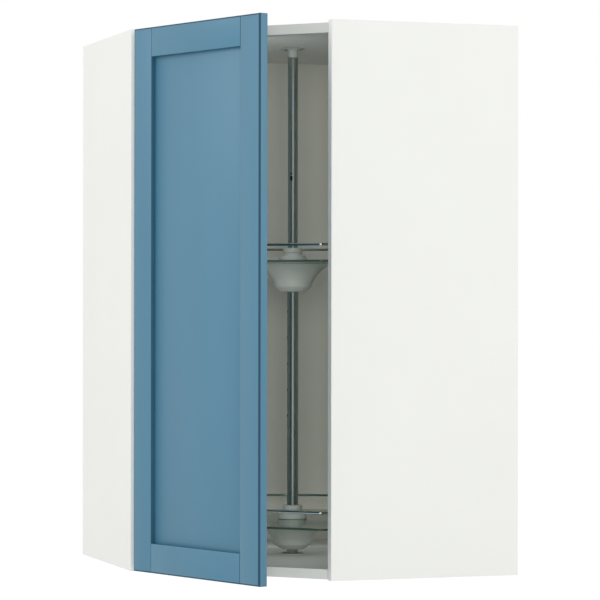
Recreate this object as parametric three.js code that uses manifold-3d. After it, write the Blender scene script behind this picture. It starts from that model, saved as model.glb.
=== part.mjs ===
// Corner wall cabinet with a two-tray carousel, a framed door and concealed hinges.
// Millimetres, +Z up. The origin is on the carousel's axis, level with the underside of the
// bottom panel. The diagonal front faces -Y, and the corner of the room is towards +Y.
import * as THREE from 'three';
import { mergeVertices } from 'three/addons/utils/BufferGeometryUtils.js';
import { ConvexGeometry } from 'three/addons/geometries/ConvexGeometry.js';
import Module from 'manifold-3d';

const wasm = await Module();
wasm.setup();

// ---------------------------------------------------------------- driving dimensions

// Clearances
const SEAT_GAP = 0.3;            // between two pieces that touch
const RUN_GAP = 0.5;             // between pieces that turn on each other

// Carcass
const WALL_LENGTH = 660.4;       // along each wall, from the corner of the room
const SIDE_DEPTH = 366;          // side panels, from front edge to wall
const CABINET_HEIGHT = 1016;      // side panels
const BOARD = 18;                // thickness of sides, top and bottom
const TOP_INSET = 4.5;           // top panel below the side panels' upper ends
const BOTTOM_INSET = 1.5;        // bottom panel above the side panels' lower ends
const BAND = 1;                  // edge band on every front edge
const BACK_BOARD = 3;            // thin back panels
const BACK_INSET = 12;           // space between a back panel and the wall
const GROOVE_DEPTH = 7;          // groove in the side panels for the back panels
const GROOVE_PLAY = 0.4;         // groove wider and deeper than the back panel
const ANGLE_LEG = 30;            // steel angle behind the pole that ties the back panels
const ANGLE_STEEL = 1.5;

// Wall brackets at the upper rear corners
const BRACKET_STEEL = 2;
const BRACKET_HEIGHT = 30;
const BRACKET_DROP = 36;         // bracket's upper edge below the cabinet's ceiling
const BRACKET_LEG = 45;          // along the side panel, inside the cabinet
const BRACKET_HOOK = 16;         // behind the back panel, along the wall
const HOOK_SETBACK = 3;          // hook's rear face from the wall
const NOTCH_PLAY = 1.5;          // around the bracket in the back panel
const BOLT_RADIUS = 3;
const BOLT_HEAD_RADIUS = 5.5;
const BOLT_HEAD = 3.5;
const BOLT_DEPTH = 12;           // bolt's length inside the side panel
const BOLT_HOLE_SPARE = 1;       // hole deeper than the bolt

// Door
const DOOR_SIDE_GAP = 6.44;      // closed door's sides from the side panels' inner front corners
const DOOR_END_GAP = 1.5;        // door's ends inside the side panels' ends
const DOOR_THICKNESS = 18;
const DOOR_SHIFT = -1.52;        // closed door's middle from the cabinet's middle
const DOOR_GAP = 8.74;           // closed door's back to the front edges of top and bottom
const STILE = 55;                // width of stiles and rails
const PANEL_RECESS = 8.5;        // centre panel behind the door's face
const PANEL_BOARD = 6;
const PANEL_GROOVE = 8;          // depth of the groove that holds the centre panel
const PANEL_PLAY = 0.5;          // centre panel short of the bottom of its groove
const BUMPER_RADIUS = 4;
const BUMPER_SPACE = 0.7;        // bumpers thinner than the closed gap
const BUMPER_EDGE = 28;          // bumper's centre from the door's free edge
const REST_DEGREES = 24.45;      // how far the door stands open

// Hinges. A pivot on the arm is [along, inward] from the left side panel's inner front
// corner; a pivot in the cup is [from the door's hinge edge, in front of the door's back].
const HINGE_ENDS = 110;          // outer hinges' centres from the door's ends
const OUTER_LINK = { arm: [1.94, 4.11], elbow: [-4.44, 25.85], cup: [29.63, 7.22], rate: 0.5533 };
const INNER_LINK = { arm: [12.25, 5.78], elbow: [-12.54, 27.8], cup: [22.63, 5.56], rate: 0.3431 };
const PIN_RADIUS = 1.25;
const PIN_PLAY = 0.35;           // links' holes larger than the pins, on the radius
const OPEN_PIVOT_PLAY = 0.55;    // inner link's hole in the cup
const LINK_RADIUS = 2.9;         // half a link's width, and its rounded ends
const LINK_PLATE = 4.25;
const ARM_CHEEK = 1.8;
const CHEEK_PLAY = 0.7;          // between a cheek and the link beside it
const CHEEK_RADIUS = 3.6;
const ARM_BODY = [22, 60];       // along the side panel
const ARM_HEIGHT = 8;
const MOUNT_SPAN = [28, 62];     // mounting plate, along the side panel
const MOUNT_STEEL = 2;
const MOUNT_RISE = 2;            // raised middle under the arm
const MOUNT_HALF_HEIGHT = 24;
const MOUNT_RISE_HALF = 6;
const CUP_RADIUS = 17.5;         // bore in the stile
const CUP_CENTRE = 22.5;         // from the door's hinge edge
const CUP_POCKET = [8, 37];      // from the door's hinge edge
const POCKET_PLAY = 0.38;        // between the outer link's rounded end and the pocket's floor
const CUP_SHELL = 1.7;           // cup's floor under the pocket
const CUP_FLANGE = 1.2;
const CUP_FLANGE_HALF = [9, 31]; // half width and half height

// Pole
const AXIS_SETBACK = 262.3;      // axis behind the line of the side panels' front corners
const LOWER_TUBE_WALL = 0.9;
const TUBE_ABOVE_HOLES = 25;     // lower tube's upper end above its last hole
const UPPER_TUBE_RADIUS = 9.5;
const UPPER_TUBE_WALL = 1.2;
const UPPER_TUBE_LAP = 35;       // upper tube's lower end below the same hole
const FIRST_HOLE = 285;          // lowest hole of the row in the lower tube
const HOLE_PITCH = 50;
const HOLES = 6;                 // the upper tray's pin is in the last one
const HOLE_PLAY = 0.15;          // holes larger than the support pins, on the radius
const HOLE_DEGREES = 49.2;       // direction of the holes in plan, from +X
const SLOT_RISE = 206.5;         // slot above the last hole
const SLOT_LENGTH = 10;
const SLOT_HOLE = 9;             // small hole's centre above the slot's
const SLOT_HOLE_RADIUS = 1.8;
const SLOT_DEGREES = -82;        // direction the slot faces in plan, from +X
const FOOT_RADIUS = 23;          // round plates of the floor and ceiling brackets
const FOOT_PLATE = 1.6;
const CEILING_BOSS = 15.6;       // as wide as the upper tube
const SPIGOT = 15;               // brackets' spigots inside the tubes
const SCREW_CIRCLE = 17;
const SCREW_HEAD_RADIUS = 3.4;
const SCREW_HEAD = 1.6;
const SCREW_RADIUS = 1.6;
const SCREW_DEPTH = 12;          // inside the board
const PILOT_SPARE = 1;           // pilot hole deeper than the screw

// Trays
const TRAY_RADIUS = 250;
const TRAY_FLAT = 197;           // straight front edge, from the axis
const TRAY_CORNER = 15;
const GLASS = 4;
const LOWER_FUNNEL = 29;         // lower end of the lower funnel
const SUPPORT_PIN_RADIUS = 2.2;
const SUPPORT_PIN_LENGTH = 30;
const RING_HEIGHT = 2.5;         // bearing ring between pin and web
const RING_RADIUS = 16;

// Funnel under a tray: [height above its lower end, radius] up its outer face
const FUNNEL_PROFILE = [
  [0, 22.5], [1.5, 25.2], [9, 36], [19.5, 38.3], [31, 46.4], [40, 54.5], [49, 67.4], [53.2, 80],
];
const FUNNEL_WALL = 2.2;
const FUNNEL_PLAY = 2.2;         // hole in its floor wider than the pole, on the radius
const WEB_HEIGHT = 17;           // web that rests on the bearing ring
const WEB = 3;
const SLEEVE_WALL = 3.4;         // sleeve around the pole, up through the glass
const SLEEVE_STANDOUT = 12;      // above the glass

// Hub on top of a tray
const FLANGE_RADIUS = 27.2;
const FLANGE_EDGE = 2.7;         // upright edge at its foot
const FLANGE_CROWN_RADIUS = 23.5;
const FLANGE_HEIGHT = 11.2;
const NECK_RADIUS = 17;
const NECK_HEIGHT = 5.2;
const COLLAR_RADIUS = 18.6;
const COLLAR_HEIGHT = 9.4;
const COLLAR_CHAMFER = 1.2;

// Tray rails
const WIRE_RADIUS = 2.5;
const RAIL_HEIGHT = 28.5;        // wire's centre above the glass
const RAIL_INSET = 4;            // wire's centre inside the edge of the glass
const POST_RADIUS = 2.2;
const POST_FOOT_RADIUS = 5;
const POST_FOOT = 3;
const POSTS_AT = [-46, 46, 113, 180, 247];   // degrees from the front, seen from above

// ---------------------------------------------------------------- derived sizes

const HALF = Math.SQRT1_2;
const FRONT_HALF = (WALL_LENGTH - SIDE_DEPTH) * HALF;
const FRONT_Y = -AXIS_SETBACK;
const SIDE_BOTTOM = -BOTTOM_INSET;
const SIDE_TOP = SIDE_BOTTOM + CABINET_HEIGHT;
const PANEL_TOP = SIDE_TOP - TOP_INSET;
const CEILING = PANEL_TOP - BOARD;
const OPENING_Y = FRONT_Y + BOARD * HALF;                  // front edges of top and bottom
const BACK_FACE = SIDE_DEPTH - BACK_INSET - BACK_BOARD;    // back panels' inner faces
const INNER_FACE = BOARD + SEAT_GAP;                       // where fittings sit on a side panel
const DOOR_WIDTH = 2 * (FRONT_HALF - BOARD * HALF - DOOR_SIDE_GAP);
const DOOR_HEIGHT = CABINET_HEIGHT - 2 * DOOR_END_GAP;
const DOOR_FOOT = SIDE_BOTTOM + DOOR_END_GAP;
const CUP_POCKET_DEPTH = OUTER_LINK.cup[1] + LINK_RADIUS + POCKET_PLAY;
const CUP_FLOOR = DOOR_THICKNESS - CUP_POCKET_DEPTH - CUP_SHELL - SEAT_GAP;   // wood before the bore
const LOWER_TUBE_BORE = UPPER_TUBE_RADIUS + SEAT_GAP;
const LOWER_TUBE_RADIUS = LOWER_TUBE_BORE + LOWER_TUBE_WALL;
const HOLE_RADIUS = SUPPORT_PIN_RADIUS + HOLE_PLAY;
const FUNNEL_BORE = LOWER_TUBE_RADIUS + FUNNEL_PLAY;
const SLEEVE_BORE = LOWER_TUBE_RADIUS + RUN_GAP;
const SLEEVE_RADIUS = SLEEVE_BORE + SLEEVE_WALL;
const PIN_TO_RING = SUPPORT_PIN_RADIUS + SEAT_GAP;
const PIN_TO_WEB = PIN_TO_RING + RING_HEIGHT + RUN_GAP;
const LOWER_PIN = LOWER_FUNNEL + WEB_HEIGHT - PIN_TO_WEB;
const UPPER_PIN = FIRST_HOLE + (HOLES - 1) * HOLE_PITCH;
const LOWER_TUBE_TOP = UPPER_PIN + TUBE_ABOVE_HOLES;
const UPPER_TUBE_FOOT = UPPER_PIN - UPPER_TUBE_LAP;
const SLOT_HEIGHT = UPPER_PIN + SLOT_RISE;
const UPPER_FUNNEL = UPPER_PIN + PIN_TO_WEB - WEB_HEIGHT;
const FUNNEL_HEIGHT = FUNNEL_PROFILE[FUNNEL_PROFILE.length - 1][0];
const WEB_RADIUS = funnelRadius(WEB_HEIGHT + WEB / 2) - FUNNEL_WALL / 2;   // in the funnel's wall

// Radius of the funnel's outer face at a height above its lower end.
function funnelRadius(height) {
  const i = FUNNEL_PROFILE.findIndex(([top]) => top > height);
  const [low, narrow] = FUNNEL_PROFILE[i - 1];
  const [high, wide] = FUNNEL_PROFILE[i];
  return narrow + ((wide - narrow) * (height - low)) / (high - low);
}

// ---------------------------------------------------------------- finishes

const WHITE_BOARD = { color: 0xf0f1ec, roughness: 0.55, metalness: 0 };
const BAND_FINISH = { color: 0xe6e7e2, roughness: 0.5, metalness: 0 };
const BACK_FINISH = { color: 0xe9eae6, roughness: 0.6, metalness: 0 };
const BLUE_PAINT = { color: 0x658ea4, roughness: 0.5, metalness: 0 };
const ZINC = { color: 0xb9bcbf, roughness: 0.4, metalness: 0.9 };
const NICKEL = { color: 0xc8c8c4, roughness: 0.28, metalness: 1 };
const CHROME = { color: 0xd4d8da, roughness: 0.12, metalness: 1 };
const GREY_PLASTIC = { color: 0xbfc3bf, roughness: 0.45, metalness: 0 };
const DARK_PLASTIC = { color: 0x4c504e, roughness: 0.5, metalness: 0 };
const CLEAR_PLASTIC = { color: 0xdfe3e3, roughness: 0.3, metalness: 0 };
const CLEAR_GLASS = { color: 0x9db8aa, roughness: 0.05, metalness: 0, transparent: true, opacity: 0.4 };

// ---------------------------------------------------------------- solids

function toSolid(geometry) {
  const bare = geometry.clone();
  bare.deleteAttribute('normal');
  bare.deleteAttribute('uv');
  const merged = mergeVertices(bare, 1e-4);
  return new wasm.Manifold(new wasm.Mesh({
    numProp: 3,
    vertProperties: new Float32Array(merged.attributes.position.array),
    triVerts: new Uint32Array(merged.index.array),
  }));
}

function toGeometry(solid) {
  const mesh = solid.getMesh();
  const geometry = new THREE.BufferGeometry();
  geometry.setAttribute('position', new THREE.BufferAttribute(mesh.vertProperties, 3));
  geometry.setIndex(new THREE.BufferAttribute(mesh.triVerts, 1));
  geometry.computeVertexNormals();
  return geometry;
}

function join(...geometries) {
  return toGeometry(geometries.map(toSolid).reduce((sum, solid) => sum.add(solid)));
}

function cut(geometry, ...tools) {
  return toGeometry(tools.map(toSolid).reduce((rest, tool) => rest.subtract(tool), toSolid(geometry)));
}

// A plan outline with optional holes, extruded between two heights.
function slab(outline, low, high, holes = []) {
  const shape = new THREE.Shape(outline);
  shape.holes = holes.map((points) => new THREE.Path(points));
  const geometry = new THREE.ExtrudeGeometry(shape, { depth: high - low, bevelEnabled: false });
  return geometry.translate(0, 0, low);
}

function block([x0, x1], [y0, y1], [z0, z1]) {
  return new THREE.BoxGeometry(x1 - x0, y1 - y0, z1 - z0)
    .translate((x0 + x1) / 2, (y0 + y1) / 2, (z0 + z1) / 2);
}

// A closed section of [radius, height] points, turned about the Z axis.
function turned(section, segments = 32) {
  const points = section.map(([radius, height]) => new THREE.Vector2(radius, height));
  if (THREE.ShapeUtils.isClockWise(points)) points.reverse();
  return new THREE.LatheGeometry(points.concat([points[0]]), segments).rotateX(Math.PI / 2);
}

// A round bar between two points.
function bar(from, to, radius, sides = 12) {
  const axis = to.clone().sub(from);
  const turn = new THREE.Quaternion()
    .setFromUnitVectors(new THREE.Vector3(0, 1, 0), axis.clone().normalize());
  return new THREE.CylinderGeometry(radius, radius, axis.length(), sides)
    .applyQuaternion(turn)
    .translate(...from.clone().add(to).multiplyScalar(0.5).toArray());
}

// An upright bar at a plan position.
function post({ x, y }, radius, low, high, sides = 12) {
  return bar(new THREE.Vector3(x, y, low), new THREE.Vector3(x, y, high), radius, sides);
}

function arc(x, y, radius, from, to, steps) {
  return Array.from({ length: steps + 1 }, (_, i) => {
    const angle = from + ((to - from) * i) / steps;
    return new THREE.Vector2(x + radius * Math.cos(angle), y + radius * Math.sin(angle));
  });
}

function circle({ x, y }, radius, sides) {
  return arc(x, y, radius, 0, 2 * Math.PI, sides).slice(0, -1);
}

// A plate around plan circles, each { at, radius }, as if a band were stretched over them.
function banded(circles, low, high) {
  const points = circles.flatMap(({ at, radius }) => circle(at, radius, 16));
  return new ConvexGeometry(points.flatMap(({ x, y }) => (
    [new THREE.Vector3(x, y, low), new THREE.Vector3(x, y, high)]
  )));
}

function place(parent, name, geometry, finish) {
  const mesh = new THREE.Mesh(geometry, new THREE.MeshStandardMaterial(finish));
  mesh.name = name;
  parent.add(mesh);
}

const cabinet = new THREE.Group();
const SIDES = [['left', -1], ['right', 1]];

// ---------------------------------------------------------------- carcass

// Plan position beside a side panel: `along` it from its front edge towards the wall, and
// `inward` from its outer face. side is -1 on the left and 1 on the right.
function plan(side, along, inward) {
  return new THREE.Vector2(
    side * (FRONT_HALF + (along - inward) * HALF),
    FRONT_Y + (along + inward) * HALF,
  );
}

// A box in a side panel's own directions.
function sideBlock(side, along, inward, heights) {
  const outline = [[0, 0], [1, 0], [1, 1], [0, 1]].map(([i, j]) => plan(side, along[i], inward[j]));
  return slab(outline, ...heights);
}

const BRACKET_TOP = CEILING - BRACKET_DROP;
const BRACKET_HEIGHTS = [BRACKET_TOP - BRACKET_HEIGHT, BRACKET_TOP];
const BRACKET_FACE = INNER_FACE + BRACKET_STEEL;
const BOLT_ALONG = BACK_FACE - BRACKET_LEG / 2;

// A bar across a side panel at the bracket's bolt, between two depths inward.
function boltBar(side, from, to, radius) {
  const ends = [from, to].map((inward) => plan(side, BOLT_ALONG, inward));
  return bar(...ends.map(({ x, y }) => new THREE.Vector3(x, y, BRACKET_TOP - BRACKET_HEIGHT / 2)), radius);
}

function sidePanel(side) {
  const board = sideBlock(side, [BAND + SEAT_GAP, SIDE_DEPTH], [0, BOARD], [SIDE_BOTTOM, SIDE_TOP]);
  const groove = sideBlock(
    side,
    [BACK_FACE - GROOVE_PLAY / 2, BACK_FACE + BACK_BOARD + GROOVE_PLAY / 2],
    [BOARD - GROOVE_DEPTH, BOARD + 1],
    [SIDE_BOTTOM - 1, SIDE_TOP + 1],
  );
  const hole = boltBar(side, BOARD - BOLT_DEPTH - BOLT_HOLE_SPARE, BOARD + 1, BOLT_RADIUS + SEAT_GAP);
  return cut(board, groove, hole);
}

// Top and bottom share an outline with five corners: two at the front, two at the ends of the
// side panels, and one in the corner of the room.
function panelOutline() {
  const frontAlong = BOARD + (BAND + SEAT_GAP) / HALF - INNER_FACE;
  const rear = BACK_FACE - SEAT_GAP;
  return [
    plan(-1, frontAlong, INNER_FACE),
    plan(1, frontAlong, INNER_FACE),
    plan(1, rear, INNER_FACE),
    plan(1, rear, rear + WALL_LENGTH - SIDE_DEPTH),
    plan(-1, rear, INNER_FACE),
  ];
}

const SCREW_PLACES = [-1, 1].map((side) => new THREE.Vector2(side * SCREW_CIRCLE, 0));

// up is 1 for the bottom panel and -1 for the top panel; face is the panel's inner face.
function flatPanel(face, up) {
  const pilots = SCREW_PLACES.map((at) => post(
    at,
    SCREW_RADIUS + SEAT_GAP,
    ...[face - up * (SCREW_DEPTH + PILOT_SPARE), face + up].sort((a, b) => a - b),
  ));
  const heights = [face, face - up * BOARD].sort((a, b) => a - b);
  return cut(slab(panelOutline(), ...heights), ...pilots);
}

function backPanel(side) {
  const lap = side > 0 ? BACK_BOARD + SEAT_GAP : 0;
  const span = [BOARD - GROOVE_DEPTH + GROOVE_PLAY, WALL_LENGTH - BACK_INSET - lap];
  const notch = sideBlock(
    side,
    [BACK_FACE - 1, BACK_FACE + BACK_BOARD + 1],
    [INNER_FACE - NOTCH_PLAY, BRACKET_FACE + NOTCH_PLAY],
    [BRACKET_HEIGHTS[0] - NOTCH_PLAY, BRACKET_HEIGHTS[1] + NOTCH_PLAY],
  );
  return cut(sideBlock(side, [BACK_FACE, BACK_FACE + BACK_BOARD], span, [0, PANEL_TOP]), notch);
}

// Its two legs lie against the inner faces of the back panels.
function cornerAngle() {
  const face = BACK_FACE - SEAT_GAP;
  const apex = face + WALL_LENGTH - SIDE_DEPTH;
  return join(...SIDES.map(([, side]) => sideBlock(
    side,
    [face - ANGLE_STEEL, face],
    [apex - ANGLE_LEG, apex],
    [BOARD + SEAT_GAP, CEILING - SEAT_GAP],
  )));
}

// It lies on the side panel, passes through the back panel and hooks round behind it.
function wallBracket(side) {
  const rear = SIDE_DEPTH - HOOK_SETBACK;
  const leg = sideBlock(side, [BACK_FACE - BRACKET_LEG, rear], [INNER_FACE, BRACKET_FACE], BRACKET_HEIGHTS);
  const hook = sideBlock(side, [rear - BRACKET_STEEL, rear], [INNER_FACE, INNER_FACE + BRACKET_HOOK],
    BRACKET_HEIGHTS);
  return cut(join(leg, hook), boltBar(side, BOARD, BRACKET_FACE + 1, BOLT_RADIUS + SEAT_GAP));
}

function bracketBolt(side) {
  const seat = BRACKET_FACE + SEAT_GAP;
  return join(
    boltBar(side, BOARD - BOLT_DEPTH, seat + BOLT_HEAD / 2, BOLT_RADIUS),
    boltBar(side, seat, seat + BOLT_HEAD, BOLT_HEAD_RADIUS),
  );
}

for (const [word, side] of SIDES) {
  place(cabinet, `${word}_side_panel`, sidePanel(side), WHITE_BOARD);
  place(cabinet, `${word}_edge_band`,
    sideBlock(side, [0, BAND], [0, BOARD], [SIDE_BOTTOM, SIDE_TOP]), BAND_FINISH);
  place(cabinet, `${word}_back_panel`, backPanel(side), BACK_FINISH);
  place(cabinet, `${word}_wall_bracket`, wallBracket(side), ZINC);
  place(cabinet, `${word}_bracket_bolt`, bracketBolt(side), ZINC);
}

const FRONT_BAND_HALF = FRONT_HALF - BOARD * HALF - SEAT_GAP / HALF;

for (const [word, face, up] of [['bottom', BOARD, 1], ['top', CEILING, -1]]) {
  const heights = [face, face - up * BOARD].sort((a, b) => a - b);
  place(cabinet, `${word}_panel`, flatPanel(face, up), WHITE_BOARD);
  place(cabinet, `${word}_edge_band`,
    block([-FRONT_BAND_HALF, FRONT_BAND_HALF], [OPENING_Y, OPENING_Y + BAND], heights), BAND_FINISH);
}

place(cabinet, 'back_corner_angle', cornerAngle(), ZINC);

// ---------------------------------------------------------------- door in its rest position

const OPEN = THREE.MathUtils.degToRad(REST_DEGREES);
const CLOSED_CORNER = new THREE.Vector2(
  DOOR_SHIFT - DOOR_WIDTH / 2,
  OPENING_Y - DOOR_GAP - DOOR_THICKNESS,
);
const ORIGIN = new THREE.Vector2(0, 0);

function besidePanel([along, inward]) {
  return plan(-1, along, BOARD + inward);
}

// A cup pivot from the door's front corner on the hinge side.
function cupPivot({ cup: [across, depth] }) {
  return new THREE.Vector2(across, DOOR_THICKNESS - depth);
}

// Where a link's arm pivot, elbow and cup pivot stand once the door has opened to REST_DEGREES.
function linkPlaces(link) {
  const arm = besidePanel(link.arm);
  const turnAbout = (point) => point.rotateAround(arm, -link.rate * OPEN);
  return {
    arm,
    elbow: turnAbout(besidePanel(link.elbow)),
    cup: turnAbout(cupPivot(link).add(CLOSED_CORNER)),
  };
}

const OUTER = linkPlaces(OUTER_LINK);
const INNER = linkPlaces(INNER_LINK);
const doorCorner = cupPivot(OUTER_LINK)
  .rotateAround(ORIGIN, -OPEN)
  .negate()
  .add(OUTER.cup);

// Inside this group X runs across the door from its hinge edge, Y from its face backwards and
// Z up from its lower end.
const door = new THREE.Group();
door.position.set(doorCorner.x, doorCorner.y, DOOR_FOOT);
door.rotation.z = -OPEN;
cabinet.add(door);

const HINGE_LEVELS = [
  ['lower', HINGE_ENDS],
  ['middle', DOOR_HEIGHT / 2],
  ['upper', DOOR_HEIGHT - HINGE_ENDS],
];
const GROOVE_SIDES = [PANEL_RECESS - GROOVE_PLAY / 2, PANEL_RECESS + PANEL_BOARD + GROOVE_PLAY / 2];
const THROUGH = [0, DOOR_THICKNESS];

// A round bar across the door's thickness, at a height, between two depths behind its face.
function doorBore(x, z, radius, [front, back], sides = 32) {
  return bar(new THREE.Vector3(x, front, z), new THREE.Vector3(x, back, z), radius, sides);
}

function leftStile() {
  const groove = block([STILE - PANEL_GROOVE, STILE + 1], GROOVE_SIDES, [-1, DOOR_HEIGHT + 1]);
  const bores = HINGE_LEVELS.map(([, z]) => (
    doorBore(CUP_CENTRE, z, CUP_RADIUS, [CUP_FLOOR, DOOR_THICKNESS + 1])
  ));
  return cut(block([0, STILE], THROUGH, [0, DOOR_HEIGHT]), groove, ...bores);
}

function rightStile() {
  const edge = DOOR_WIDTH - STILE;
  const groove = block([edge - 1, edge + PANEL_GROOVE], GROOVE_SIDES, [-1, DOOR_HEIGHT + 1]);
  return cut(block([edge, DOOR_WIDTH], THROUGH, [0, DOOR_HEIGHT]), groove);
}

// The rails' tenons fill the stiles' grooves; the groove for the centre panel runs through them.
function doorRail(low, grooveHeights) {
  const shoulder = STILE + SEAT_GAP;
  const tenon = STILE - PANEL_GROOVE + SEAT_GAP;
  const heights = [low, low + STILE];
  return cut(
    join(
      block([shoulder, DOOR_WIDTH - shoulder], THROUGH, heights),
      block([tenon, DOOR_WIDTH - tenon], [PANEL_RECESS, PANEL_RECESS + PANEL_BOARD], heights),
    ),
    block([0, DOOR_WIDTH], GROOVE_SIDES, grooveHeights),
  );
}

const panelEdge = STILE - PANEL_GROOVE + PANEL_PLAY;
const upperRail = DOOR_HEIGHT - STILE;

place(door, 'door_left_stile', leftStile(), BLUE_PAINT);
place(door, 'door_right_stile', rightStile(), BLUE_PAINT);
place(door, 'door_bottom_rail', doorRail(0, [STILE - PANEL_GROOVE, STILE + 1]), BLUE_PAINT);
place(door, 'door_top_rail', doorRail(upperRail, [upperRail - 1, upperRail + PANEL_GROOVE]), BLUE_PAINT);
place(door, 'door_centre_panel', block(
  [panelEdge, DOOR_WIDTH - panelEdge],
  [PANEL_RECESS, PANEL_RECESS + PANEL_BOARD],
  [panelEdge, DOOR_HEIGHT - panelEdge],
), BLUE_PAINT);

const BUMPER_BACK = DOOR_THICKNESS + DOOR_GAP - BUMPER_SPACE;

for (const [word, z] of [['lower', BOARD / 2], ['upper', CEILING + BOARD / 2]]) {
  const depths = [DOOR_THICKNESS + SEAT_GAP, BUMPER_BACK];
  place(door, `${word}_door_bumper`,
    doorBore(DOOR_WIDTH - BUMPER_EDGE, z - DOOR_FOOT, BUMPER_RADIUS, depths, 16), CLEAR_PLASTIC);
}

// ---------------------------------------------------------------- hinges

const LINK_REACH = LINK_PLATE + RUN_GAP / 2;          // outer faces of the two links
const CHEEK_FACE = LINK_REACH + CHEEK_PLAY;
const ARM_HALF_WIDTH = CHEEK_FACE + ARM_CHEEK;
const ARM_SEAT = INNER_FACE + MOUNT_STEEL + MOUNT_RISE + SEAT_GAP;

function link({ arm, elbow, cup }, [low, high], cupPlay) {
  const half = (at) => ({ at, radius: LINK_RADIUS });
  return cut(
    join(banded([half(arm), half(elbow)], low, high), banded([half(elbow), half(cup)], low, high)),
    post(arm, PIN_RADIUS + PIN_PLAY, low - 1, high + 1),
    post(cup, PIN_RADIUS + cupPlay, low - 1, high + 1),
  );
}

// The outer link's pin below the hinge's middle and the inner link's above it, each out to reach.
function halfPins([outer, inner], z, reach) {
  return [
    post(outer, PIN_RADIUS, z - reach, z - RUN_GAP / 2),
    post(inner, PIN_RADIUS, z + RUN_GAP / 2, z + reach),
  ];
}

function hingeArm(z) {
  const root = plan(-1, ARM_BODY[0] + CHEEK_RADIUS, ARM_SEAT + ARM_HEIGHT / 2);
  const cheeks = [[CHEEK_FACE, ARM_HALF_WIDTH], [-ARM_HALF_WIDTH, -CHEEK_FACE]].map(([low, high]) => banded([
    { at: OUTER.arm, radius: CHEEK_RADIUS },
    { at: INNER.arm, radius: CHEEK_RADIUS },
    { at: root, radius: ARM_HEIGHT / 2 },
  ], z + low, z + high));
  const pins = halfPins([OUTER.arm, INNER.arm], z, CHEEK_FACE + ARM_CHEEK / 2);
  const body = sideBlock(-1, ARM_BODY, [ARM_SEAT, ARM_SEAT + ARM_HEIGHT],
    [z - ARM_HALF_WIDTH, z + ARM_HALF_WIDTH]);
  return join(body, ...cheeks, ...pins);
}

function hingeMount(z) {
  const steel = INNER_FACE + MOUNT_STEEL;
  return join(
    sideBlock(-1, MOUNT_SPAN, [INNER_FACE, steel], [z - MOUNT_HALF_HEIGHT, z + MOUNT_HALF_HEIGHT]),
    sideBlock(-1, MOUNT_SPAN, [INNER_FACE, steel + MOUNT_RISE], [z - MOUNT_RISE_HALF, z + MOUNT_RISE_HALF]),
  );
}

// The cup's two ears lie on the back of the stile, above and below the pocket.
function hingeCup(z) {
  const radius = CUP_RADIUS - SEAT_GAP;
  const back = DOOR_THICKNESS + SEAT_GAP;
  const [halfWidth, halfHeight] = CUP_FLANGE_HALF;
  const pocket = [z - LINK_REACH - RUN_GAP, z + LINK_REACH + RUN_GAP];
  const beyond = back + CUP_FLANGE + 1;
  const shell = cut(
    join(
      doorBore(CUP_CENTRE, z, radius, [CUP_FLOOR + SEAT_GAP, back + CUP_FLANGE], 28),
      block([CUP_CENTRE - halfWidth, CUP_CENTRE + halfWidth], [back, back + CUP_FLANGE],
        [z - halfHeight, z + halfHeight]),
    ),
    block(CUP_POCKET, [DOOR_THICKNESS - CUP_POCKET_DEPTH, beyond], pocket),
    block([0, CUP_POCKET[0] + 1], [DOOR_THICKNESS, beyond], pocket),
  );
  const pins = halfPins([OUTER_LINK, INNER_LINK].map(cupPivot), z, LINK_REACH + RUN_GAP + 1);
  return join(shell, ...pins);
}

for (const [word, doorZ] of HINGE_LEVELS) {
  const z = DOOR_FOOT + doorZ;
  place(cabinet, `${word}_hinge_mount`, hingeMount(z), NICKEL);
  place(cabinet, `${word}_hinge_arm`, hingeArm(z), NICKEL);
  place(cabinet, `${word}_hinge_outer_link`,
    link(OUTER, [z - LINK_REACH, z - RUN_GAP / 2], PIN_PLAY), NICKEL);
  place(cabinet, `${word}_hinge_inner_link`,
    link(INNER, [z + RUN_GAP / 2, z + LINK_REACH], OPEN_PIVOT_PLAY), NICKEL);
  place(door, `${word}_hinge_cup`, hingeCup(doorZ), NICKEL);
}

// ---------------------------------------------------------------- carousel pole

// A bar through the pole, in a plan direction.
function crossBar(height, degrees, radius, from, to, sides = 12) {
  const angle = THREE.MathUtils.degToRad(degrees);
  const at = (reach) => new THREE.Vector3(reach * Math.cos(angle), reach * Math.sin(angle), height);
  return bar(at(from), at(to), radius, sides);
}

function throughHole(height) {
  const reach = LOWER_TUBE_RADIUS + 1;
  return crossBar(height, HOLE_DEGREES, HOLE_RADIUS, -reach, reach);
}

const PLATE_SEAT = BOARD + SEAT_GAP;
const CEILING_SEAT = CEILING - SEAT_GAP;
const LOWER_TUBE_FOOT = PLATE_SEAT + FOOT_PLATE + SEAT_GAP;
const UPPER_TUBE_TOP = CEILING_SEAT - FOOT_PLATE - CEILING_BOSS - SEAT_GAP;

function lowerTube() {
  const heights = Array.from({ length: HOLES }, (_, i) => UPPER_PIN - i * HOLE_PITCH);
  const tube = turned([
    [LOWER_TUBE_BORE, LOWER_TUBE_FOOT], [LOWER_TUBE_RADIUS, LOWER_TUBE_FOOT],
    [LOWER_TUBE_RADIUS, LOWER_TUBE_TOP], [LOWER_TUBE_BORE, LOWER_TUBE_TOP],
  ]);
  return cut(tube, ...[LOWER_PIN, ...heights].map(throughHole));
}

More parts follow.
